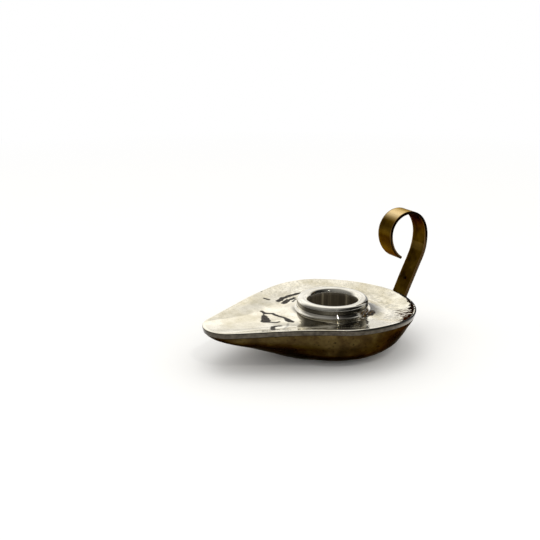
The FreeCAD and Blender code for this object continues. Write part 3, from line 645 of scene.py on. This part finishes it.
def planished_aluminium():
    """Hand-hammered aluminium sheet, polished: creamy and mirror-like, with fine scratches."""
    material, tree, place = new_material("planished_aluminium")
    # Soft clouds of dulling, about 12 mm across.
    cloud = add_node(tree, "TexNoise", {"Scale": 85, "Detail": 4, "Roughness": 0.6, "Vector": place})
    cream = add_node(tree, "ValToRGB", {"ramp": [(0.32, "#D6CCAF"), (0.60, "#FAF3E0")],
                                        "Fac": cloud.outputs["Fac"]})
    # Specks of grime 0.4 mm across; finer ones would not show.
    speck = add_node(tree, "TexNoise", {"Scale": 2400, "Detail": 2, "Vector": place})
    specks = add_node(tree, "ValToRGB", {"ramp": [(0.33, "#8C8268"), (0.42, "#FFFFFF")],
                                         "Fac": speck.outputs["Fac"]})
    grimy = add_node(tree, "Mix", {"data_type": "RGBA", "blend_type": "MULTIPLY", 0: 0.35,
                                   LOWER: cream.outputs["Color"], UPPER: specks.outputs["Color"]})
    # Painted shade: the band round the pan's edge is darker, mottled in a pattern of 2 mm.
    band_mottle = add_node(tree, "TexNoise", {"Scale": 500, "Detail": 5, "Vector": place})
    band = add_node(tree, "ValToRGB", {"ramp": [(0.3, "#3E3933"), (0.7, "#5F594F")],
                                       "Fac": band_mottle.outputs["Fac"]})
    grain = add_node(tree, "ValToRGB", {"ramp": FLUX, "Fac": speck.outputs["Fac"]})
    # Painted reflection of the socket's dark side, round its foot.
    colour = coat(tree, grimy.outputs[MIXED], "smudge", "#1E1C18")
    colour = coat(tree, colour, "band", band.outputs["Color"])
    # Painted shade on the rim's edge and just inside the lip.
    colour = coat(tree, colour, "grime", "#24231B")
    colour = coat(tree, colour, "tarnish", "#3A362A")
    colour = coat(tree, colour, "residue", grain.outputs["Color"])
    # Under crumbs of flux it is no bare metal, and rough.
    crumbs = add_node(tree, "Attribute", {"attribute_name": "residue"}).outputs["Fac"]
    bare = add_node(tree, "MapRange", {"From Max": 0.6, "To Min": 1.0, "To Max": 0.0, "Value": crumbs})
    polish = add_node(tree, "MapRange", {"To Min": 0.03, "To Max": 0.11, "Value": cloud.outputs["Fac"]})
    rough = add_node(tree, "MapRange", {"To Min": polish.outputs["Result"], "To Max": 0.6,
                                        "Value": crumbs})
    # Polishing scratches 0.3 mm apart, drawn coarser than the real ones so that they show.
    stretch = add_node(tree, "Mapping", {"Scale": (1.0, 0.12, 1.0), "Rotation": (0, 0, 0.5),
                                         "Vector": place})
    scratch = add_node(tree, "TexNoise", {"Scale": 3300, "Detail": 3,
                                          "Vector": stretch.outputs["Vector"]})
    bump = add_node(tree, "Bump", {"Strength": 0.06, "Distance": 0.0001,
                                   "Height": scratch.outputs["Fac"]})
    metal = add_node(tree, "BsdfPrincipled", {
        "Base Color": colour, "Roughness": rough.outputs["Result"],
        "Metallic": bare.outputs["Result"], "Normal": bump.outputs["Normal"]})
    add_node(tree, "OutputMaterial", {"Surface": metal.outputs["BSDF"]})
    return material


def tarnish_crust_and_rim_shade():
    """A crust on the pan of burnt tarnish and flux, and the rim's painted shade: dull and hardly
    reflecting.
    """
    material, tree, place = new_material("tarnish_crust_and_rim_shade")
    # Flecks about 1 mm across.
    fleck = add_node(tree, "TexNoise", {"Scale": 900, "Detail": 4, "Vector": place})
    soot = add_node(tree, "ValToRGB", {"ramp": [(0.4, "#18140C"), (0.62, "#453D30")],
                                       "Fac": fleck.outputs["Fac"]})
    grain = add_node(tree, "ValToRGB", {
        "ramp": [(0.40, "#120B03"), (0.54, "#231603"), (0.64, "#6E4E10")],
        "Fac": fleck.outputs["Fac"]})
    # Painted shade on the rim, in black.
    colour = coat(tree, soot.outputs["Color"], "grime", "#16150F")
    colour = coat(tree, colour, "residue", grain.outputs["Color"])
    crust = add_node(tree, "BsdfPrincipled", {"Roughness": 0.55, "Specular IOR Level": 0.15,
                                              "Base Color": colour})
    add_node(tree, "OutputMaterial", {"Surface": crust.outputs["BSDF"]})
    return material


def turned_aluminium():
    """Lathe-turned aluminium, polished: paler than the pan, with fine rings and a dull bore."""
    material, tree, place = new_material("turned_aluminium")
    # Soft clouds of dulling, about 6 mm across.
    cloud = add_node(tree, "TexNoise", {"Scale": 160, "Detail": 4, "Vector": place})
    pale = add_node(tree, "ValToRGB", {"ramp": [(0.3, "#E6E0D0"), (0.65, "#FBF6E8")],
                                       "Fac": cloud.outputs["Fac"]})
    # The bore is darker, streaked up and down in lines 1 to 2 mm apart.
    upright = add_node(tree, "Mapping", {"Location": (0.0031, 0.0012, 0.0), "Scale": (1.0, 1.0, 0.02),
                                         "Vector": place})
    streak = add_node(tree, "TexNoise", {"Scale": 420, "Detail": 3,
                                         "Vector": upright.outputs["Vector"]})
    streaks = add_node(tree, "ValToRGB", {
        "ramp": [(0.40, "#5E5545"), (0.56, "#746A57"), (0.66, "#B8AC90")],
        "Fac": streak.outputs["Fac"]})
    # Old flux at the foot: brown crumbs half a millimetre across.
    crumb = add_node(tree, "TexNoise", {"Scale": 2400, "Detail": 2, "Vector": place})
    grain = add_node(tree, "ValToRGB", {"ramp": FLUX, "Fac": crumb.outputs["Fac"]})
    # Painted shade on the ring's side, groove and shoulder.
    colour = coat(tree, pale.outputs["Color"], "dull", "#2B2A29")
    colour = coat(tree, colour, "bore", streaks.outputs["Color"])
    colour = coat(tree, colour, "residue", grain.outputs["Color"])
    # Crumbs are no bare metal, and a film of wax and soot dulls the bore.
    crumbs = add_node(tree, "Attribute", {"attribute_name": "residue"}).outputs["Fac"]
    bore = add_node(tree, "Attribute", {"attribute_name": "bore"}).outputs["Fac"]
    bare = add_node(tree, "MapRange", {"From Max": 0.6, "To Min": 1.0, "To Max": 0.0, "Value": crumbs})
    filmed = add_node(tree, "Math", {"operation": "MULTIPLY_ADD", 0: bore, 1: -0.45,
                                     2: bare.outputs["Result"]})
    polish = add_node(tree, "MapRange", {"To Min": 0.04, "To Max": 0.12, "Value": cloud.outputs["Fac"]})
    rough = add_node(tree, "Math", {"operation": "MULTIPLY_ADD", 0: bore, 1: 0.22,
                                    2: polish.outputs["Result"]})
    # Turning marks 0.9 mm apart, many times coarser than the tool's real feed so that they show.
    rings = add_node(tree, "TexWave", {"wave_type": "BANDS", "bands_direction": "Z", "Scale": 350,
                                       "Distortion": 0.4, "Detail": 1, "Vector": place})
    bump = add_node(tree, "Bump", {"Strength": 0.03, "Distance": 0.0001,
                                   "Height": rings.outputs["Fac"]})
    metal = add_node(tree, "BsdfPrincipled", {
        "Base Color": colour, "Roughness": rough.outputs["Value"],
        "Metallic": filmed.outputs["Value"], "Normal": bump.outputs["Normal"]})
    add_node(tree, "OutputMaterial", {"Surface": metal.outputs["BSDF"]})
    return material


def patinated_brass():
    """Raised sheet brass under years of brown patina: dark olive brown, mottled, half dull."""
    material, tree, place = new_material("patinated_brass")
    # Mottling about 9 mm across, with finer blotches in it.
    mottle = add_node(tree, "TexNoise", {"Scale": 110, "Detail": 7, "Roughness": 0.62, "Vector": place})
    brown = add_node(tree, "ValToRGB", {
        "ramp": [(0.30, "#2E2414"), (0.47, "#44351E"), (0.58, "#544628"), (0.72, "#655434")],
        "Fac": mottle.outputs["Fac"]})
    # Dark spots, in a pattern of about 1 mm.
    spot = add_node(tree, "TexNoise", {"Scale": 900, "Detail": 3, "Vector": place})
    spots = add_node(tree, "ValToRGB", {"ramp": [(0.30, "#2A1D0C"), (0.40, "#FFFFFF")],
                                        "Fac": spot.outputs["Fac"]})
    spotted = add_node(tree, "Mix", {"data_type": "RGBA", "blend_type": "MULTIPLY", 0: 0.8,
                                     LOWER: brown.outputs["Color"], UPPER: spots.outputs["Color"]})
    # Painted shade: the lower wall is darkest.
    split = add_node(tree, "SeparateXYZ", {"Vector": place})
    height = add_node(tree, "MapRange", {"From Min": 0.002, "From Max": 0.013, "To Min": 0.95,
                                         "To Max": 1.0, "Value": split.outputs["Z"]})
    shade = add_node(tree, "Mix", {"data_type": "RGBA", "blend_type": "MULTIPLY", 0: 1.0,
                                   LOWER: spotted.outputs[MIXED], UPPER: height.outputs["Result"]})
    rough = add_node(tree, "MapRange", {"To Min": 0.42, "To Max": 0.22, "Value": mottle.outputs["Fac"]})
    bump = add_node(tree, "Bump", {"Strength": 0.15, "Distance": 0.0001,
                                   "Height": mottle.outputs["Fac"]})
    metal = add_node(tree, "BsdfPrincipled", {
        "Metallic": 1.0, "Specular Tint": "#8E8472", "Base Color": shade.outputs[MIXED],
        "Roughness": rough.outputs["Result"], "Normal": bump.outputs["Normal"]})
    add_node(tree, "OutputMaterial", {"Surface": metal.outputs["BSDF"]})
    return material


def rolled_brass():
    """Rolled brass strip: brown where it is never touched, gold on top of the loop, worn and with a
    painted highlight.
    """
    material, tree, place = new_material("rolled_brass")
    # Mottling about 6 mm across.
    mottle = add_node(tree, "TexNoise", {"Scale": 170, "Detail": 6, "Roughness": 0.6, "Vector": place})
    brown = add_node(tree, "ValToRGB", {
        "ramp": [(0.32, "#2E2008"), (0.5, "#47340F"), (0.68, "#5C4618")],
        "Fac": mottle.outputs["Fac"]})
    # The loop's inner face is dark red: heat tint from the torch when the strap was bent, and painted
    # shade inside the loop.
    red = add_node(tree, "ValToRGB", {"ramp": [(0.35, "#160803"), (0.65, "#2E1307")],
                                      "Fac": mottle.outputs["Fac"]})
    # Worn brass, and painted highlight and reflections on the loop and curl, in gold.
    rubbed = add_node(tree, "Attribute", {"attribute_name": "rubbed"}).outputs["Fac"]
    gold = add_node(tree, "ValToRGB", {"ramp": [(0.1, "#A88848"), (0.9, "#FFE3AC")], "Fac": rubbed})
    colour = coat(tree, brown.outputs["Color"], "heat", red.outputs["Color"])
    colour = coat(tree, colour, "rubbed", gold.outputs["Color"])
    # Painted shade on the sheared edges, with a painted highlight in a thin lighter line along the
    # corners.
    colour = coat(tree, colour, "edge", "#120B05")
    colour = coat(tree, colour, "arris", "#94744C")
    rough = add_node(tree, "MapRange", {"To Min": 0.30, "To Max": 0.18, "Value": rubbed})
    # Rolling lines along the strip, 0.5 mm apart so that they show.
    stretch = add_node(tree, "Mapping", {"Scale": (0.1, 1.0, 0.1), "Vector": place})
    lines = add_node(tree, "TexNoise", {"Scale": 2000, "Detail": 2,
                                        "Vector": stretch.outputs["Vector"]})
    bump = add_node(tree, "Bump", {"Strength": 0.08, "Distance": 0.0001,
                                   "Height": lines.outputs["Fac"]})
    metal = add_node(tree, "BsdfPrincipled", {
        "Metallic": 1.0, "Specular Tint": "#857458", "Base Color": colour,
        "Roughness": rough.outputs["Result"], "Normal": bump.outputs["Normal"]})
    add_node(tree, "OutputMaterial", {"Surface": metal.outputs["BSDF"]})
    return material


def turned_steel():
    """Plain turned steel, slightly dulled: the socket's screw and its washer."""
    material, tree, place = new_material("turned_steel")
    cloud = add_node(tree, "TexNoise", {"Scale": 600, "Detail": 4, "Vector": place})
    grey = add_node(tree, "ValToRGB", {"ramp": [(0.3, "#85827C"), (0.65, "#A9A8A4")],
                                       "Fac": cloud.outputs["Fac"]})
    rough = add_node(tree, "MapRange", {"To Min": 0.28, "To Max": 0.42, "Value": cloud.outputs["Fac"]})
    # Facing marks 0.5 mm apart round the screw's axis, coarser than real ones so that they show.
    rings = add_node(tree, "TexWave", {"wave_type": "RINGS", "rings_direction": "Z", "Scale": 600,
                                       "Vector": place})
    bump = add_node(tree, "Bump", {"Strength": 0.10, "Distance": 0.0001,
                                   "Height": rings.outputs["Fac"]})
    metal = add_node(tree, "BsdfPrincipled", {
        "Metallic": 1.0, "Base Color": grey.outputs["Color"],
        "Roughness": rough.outputs["Result"], "Normal": bump.outputs["Normal"]})
    add_node(tree, "OutputMaterial", {"Surface": metal.outputs["BSDF"]})
    return material


def studio_paper():
    """White studio paper: dull, lit to just under white near the object, plain white far off."""
    material, tree, place = new_material("studio_paper")
    far = add_node(tree, "VectorMath", {"operation": "LENGTH", 0: place})
    blend = add_node(tree, "MapRange", {"From Min": 0.2, "From Max": 0.7,
                                        "Value": far.outputs["Value"]})
    paper = add_node(tree, "BsdfDiffuse", {"Color": "#F4F3F0"})
    white = add_node(tree, "Emission", {"Color": "#FFFFFF", "Strength": 1.0})
    mix = add_node(tree, "MixShader", {0: blend.outputs["Result"], 1: paper.outputs["BSDF"],
                                       2: white.outputs["Emission"]})
    add_node(tree, "OutputMaterial", {"Surface": mix.outputs["Shader"]})
    return material


# The pieces

def marked(piece, name):
    """The values of one of a piece's marks, point by point."""
    values = np.empty(len(piece.data.vertices), np.float32)
    piece.data.attributes[name].data.foreach_get("value", values)
    return values


def lay_crust(piece, material, least=0.55):
    """Gives the pan's thickest tarnish, painted rim shade and flux a material of their own, face by
    face.
    """
    thick = np.maximum(np.maximum(marked(piece, "tarnish"), marked(piece, "grime")),
                       1.8 * marked(piece, "residue"))
    corners = np.empty(len(piece.data.loops), np.int32)
    piece.data.loops.foreach_get("vertex_index", corners)
    crusted = thick[corners].reshape(-1, 4).mean(1) > least
    piece.data.materials.append(material)
    piece.data.polygons.foreach_set("material_index", crusted.astype(np.int32))


pan = hammered_pan()
bowl = raised_bowl()
socket = turned_socket()
strap = rolled_strap()
for piece, node, slot, material in (
    (pan, "drip_pan", "pan_aluminium", planished_aluminium()),
    (bowl, "bowl_shell", "bowl_brass", patinated_brass()),
    (socket, "candle_socket", "socket_aluminium", turned_aluminium()),
    (strap, "handle_strap", "strap_brass", rolled_brass()),
):
    piece.data.materials.append(material)
    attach(piece, "root")
    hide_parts(node)
lay_crust(pan, tarnish_crust_and_rim_shade())
steel = turned_steel()
strap_brass = strap.data.materials[0]
for node, material in (("socket_screw", steel), ("screw_washer", steel),
                       ("rivet_upper", strap_brass), ("rivet_lower", strap_brass)):
    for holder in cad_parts[node].material_slots:
        holder.material = material


# The studio

def paper_floor():
    """A flat sheet of paper under the object, fading to plain white."""
    size = 20000.0
    rows = [[(-size, -size, 0), (size, -size, 0)], [(-size, size, 0), (size, size, 0)]]
    sheet = skin("studio_floor", rows, ring=False)
    sheet.data.materials.append(studio_paper())


def softbox(name, place, size, power):
    """A square lamp that looks at the object, its size in metres and its power in watts."""
    lamp = bpy.data.lights.new(name, "AREA")
    lamp.shape, lamp.size, lamp.energy = "SQUARE", size, power
    holder = bpy.data.objects.new(name, lamp)
    holder.location = place
    holder.rotation_euler = (Vector((0, 0, 0.02)) - Vector(place)).to_track_quat("-Z", "Y").to_euler()
    bpy.context.scene.collection.objects.link(holder)
    return holder


def studio_world():
    """White behind the object, dim in front, as metal sees it; an even plain light otherwise."""
    world = bpy.data.worlds.new("studio")
    bpy.context.scene.world = world
    world.use_nodes = True
    tree = world.node_tree
    tree.nodes.clear()
    way = add_node(tree, "TexCoord").outputs["Generated"]
    # From the room's dim side, where the camera stands, to the white paper behind the object.
    back = add_node(tree, "VectorMath", {"operation": "DOT_PRODUCT", 0: way, 1: (0.483, 0.875, 0.05)})
    share = add_node(tree, "MapRange", {"interpolation_type": "SMOOTHSTEP", "From Min": 0.10,
                                        "From Max": 0.75, "Value": back.outputs["Value"]})
    # The room is darker to the right and lighter overhead.
    right = add_node(tree, "VectorMath", {"operation": "DOT_PRODUCT", 0: way, 1: (0.875, -0.483, 0.0)})
    side = add_node(tree, "MapRange", {"From Min": -0.4, "From Max": 0.6, "To Min": 0.18,
                                       "To Max": 0.012, "Value": right.outputs["Value"]})
    over = add_node(tree, "VectorMath", {"operation": "DOT_PRODUCT", 0: way, 1: (0.0, 0.0, 1.0)})
    high = add_node(tree, "MapRange", {"From Min": 0.5, "From Max": 1.0, "To Min": 1.0,
                                       "To Max": 1.7, "Value": over.outputs["Value"]})
    room = add_node(tree, "Math", {"operation": "MULTIPLY", 0: side.outputs["Result"],
                                   1: high.outputs["Result"]})
    # The paper isn't quite even: it hangs in soft folds.
    folds = add_node(tree, "TexNoise", {"Scale": 8.0, "Detail": 2, "Vector": way})
    paper = add_node(tree, "MapRange", {"From Min": 0.35, "From Max": 0.62, "To Min": 0.76,
                                        "To Max": 1.20, "Value": folds.outputs["Fac"]})
    around = add_node(tree, "Mix", {"data_type": "FLOAT", 0: share.outputs["Result"],
                                    2: room.outputs["Value"], 3: paper.outputs["Result"]})
    # The camera sees plain white, diffuse surfaces an even light, and mirrors all of the above.
    path = add_node(tree, "LightPath")
    seen = add_node(tree, "Background", {"Color": "#FFFFFF", "Strength": 1.0})
    mirrored = add_node(tree, "Background", {"Color": "#FFFFFF", "Strength": around.outputs[0]})
    plain = add_node(tree, "Background", {"Color": "#FFFFFF", "Strength": 0.96})
    lit = add_node(tree, "MixShader", {0: path.outputs["Is Diffuse Ray"],
                                       1: mirrored.outputs["Background"],
                                       2: plain.outputs["Background"]})
    both = add_node(tree, "MixShader", {0: path.outputs["Is Camera Ray"], 1: lit.outputs["Shader"],
                                        2: seen.outputs["Background"]})
    add_node(tree, "OutputWorld", {"Surface": both.outputs["Shader"]})


def studio_camera():
    """The camera, where it stood for the photograph."""
    camera = bpy.data.cameras.new("camera")
    camera.sensor_width = 36
    camera.lens = 59.2
    eye = bpy.data.objects.new("camera", camera)
    eye.location = (-0.2138, -0.3273, 0.1572)
    eye.rotation_euler = (math.radians(72.85), 0, math.radians(-28.9))
    bpy.context.scene.collection.objects.link(eye)
    bpy.context.scene.camera = eye
    bpy.context.scene.view_settings.view_transform = "Standard"


paper_floor()
studio_world()
# Metals don't mirror the large lamp, so that only the small one draws sharp highlights.
above = softbox("softbox_above", (-0.15, 0.05, 1.0), 0.7, 2.0)
above.visible_glossy = False
softbox("small_lamp", (-0.120, -0.636, 0.77), 0.025, 0.8)
studio_camera()
